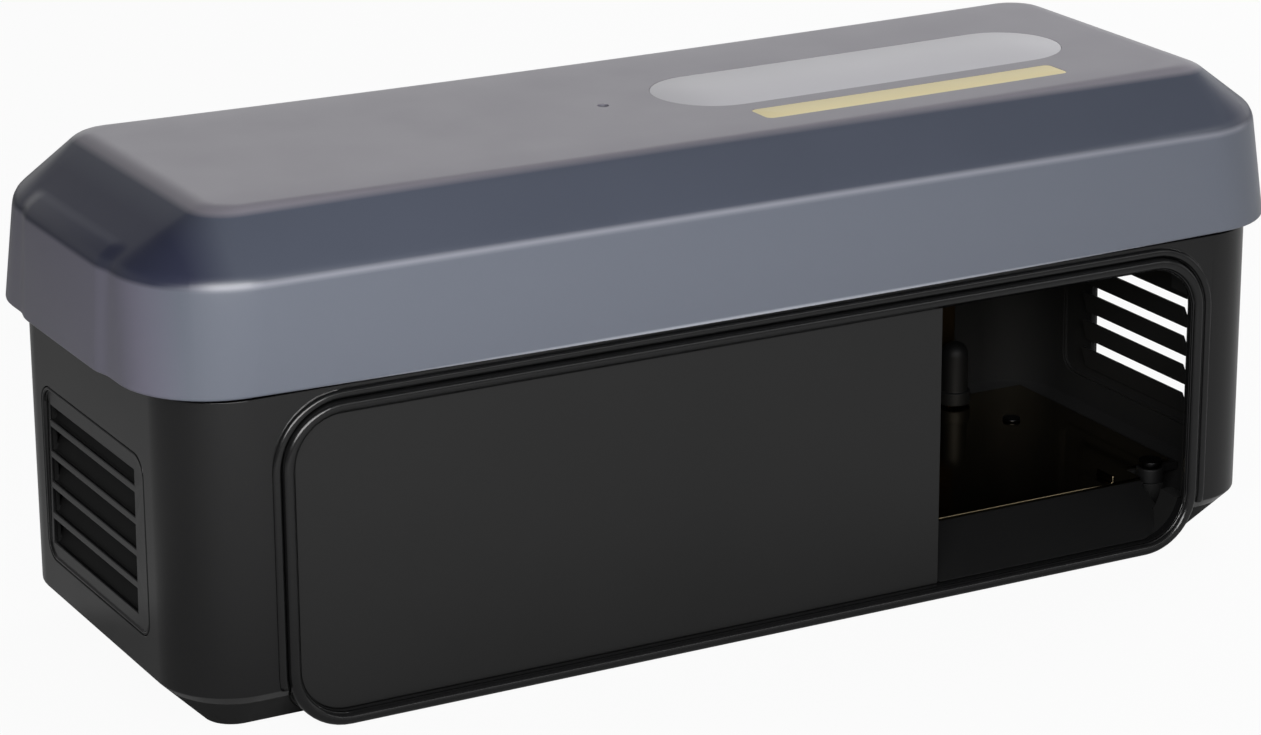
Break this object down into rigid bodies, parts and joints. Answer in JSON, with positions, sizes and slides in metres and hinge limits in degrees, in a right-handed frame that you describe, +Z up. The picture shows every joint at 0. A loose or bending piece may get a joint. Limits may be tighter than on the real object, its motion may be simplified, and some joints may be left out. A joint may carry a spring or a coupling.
{
  "type": "enclosed rodent trap",
  "caption": "Box rodent trap: black base with framed side entry and end vents, metal floor plates, battery deck and a smoky lift-off lid.",
  "frame": {"origin": "centre of the footprint, on the surface that the feet stand on", "axes": "+X along the length towards the entry end, +Y to the back (the entry faces -Y), +Z up"},
  "size_m": [0.26, 0.0934, 0.1031],
  "materials": {
    "base_plastic": "satin moulded black ABS",
    "panel_plastic": "fine-textured dark grey ABS",
    "inner_plastic": "moulded black polypropylene",
    "cup_plastic": "moulded dark grey polypropylene",
    "plate_steel": "smooth rolled stainless sheet, sheared edges",
    "screw_steel": "black-oxide steel",
    "lead_brass": "rolled strip, tarnished brown",
    "cell_case": "plain printed-film sleeve over a metal can",
    "contact_nickel": "nickel-plated",
    "board_laminate": "solder-masked laminate",
    "transformer_tape": "polyester tape",
    "capacitor_sleeve": "shrunk sleeve",
    "switch_plastic": "moulded",
    "button_plastic": "moulded",
    "lens_plastic": "clear tinted acrylic",
    "foot_rubber": "die-cut sheet",
    "lid_plastic": "smoky translucent polycarbonate, fine matt texture",
    "window_plastic": "paler frosted polycarbonate",
    "strip_plastic": "pale yellow film, blank"
  },
  "bodies": {
    "trap": {"base_shell": "base_plastic", "left_vent_grille": "base_plastic", "right_vent_grille": "base_plastic", "front_frame": "base_plastic", "front_panel": "panel_plastic", "entry_ramp": "inner_plastic", "plate_tray": "inner_plastic", "entry_plate": "plate_steel", "middle_plate": "plate_steel", "rear_plate": "plate_steel", "plate_screws": "screw_steel", "tray_screws": "screw_steel", "plate_leads": "lead_brass", "lead_posts": "inner_plastic", "deck": "inner_plastic", "deck_screws": "screw_steel", "battery_tray": "inner_plastic", "battery_cells": "cell_case", "contact_springs": "contact_nickel", "contact_pads": "contact_nickel", "circuit_board": "board_laminate", "board_screws": "screw_steel", "transformer": "transformer_tape", "capacitor": "capacitor_sleeve", "power_switch": "switch_plastic", "control_cover": "inner_plastic", "indicator_lens": "lens_plastic", "feet": "foot_rubber"},
    "bait_cup": {"bait_cup": "cup_plastic"},
    "battery_door": {"battery_door": "inner_plastic"},
    "power_button": {"power_button": "button_plastic"},
    "lid": {"lid_shell": "lid_plastic", "lid_window": "window_plastic", "lid_strip": "strip_plastic"}
  },
  "joints": [
    {"name": "lid_lift", "type": "slide", "parent": "trap", "child": "lid", "axis": [0, 0, 1], "range_m": [0, 0.045]},
    {"name": "battery_door_slide", "type": "slide", "parent": "trap", "child": "battery_door", "axis": [1, 0, 0], "range_m": [0, 0.012]},
    {"name": "power_press", "type": "slide", "parent": "trap", "child": "power_button", "axis": [0, 0, -1], "range_m": [0, 0.0015], "stiffness_N_per_m": 400},
    {"name": "bait_cup_lift", "type": "slide", "parent": "trap", "child": "bait_cup", "axis": [0, 0, 1], "range_m": [0, 0.03]}
  ]
}
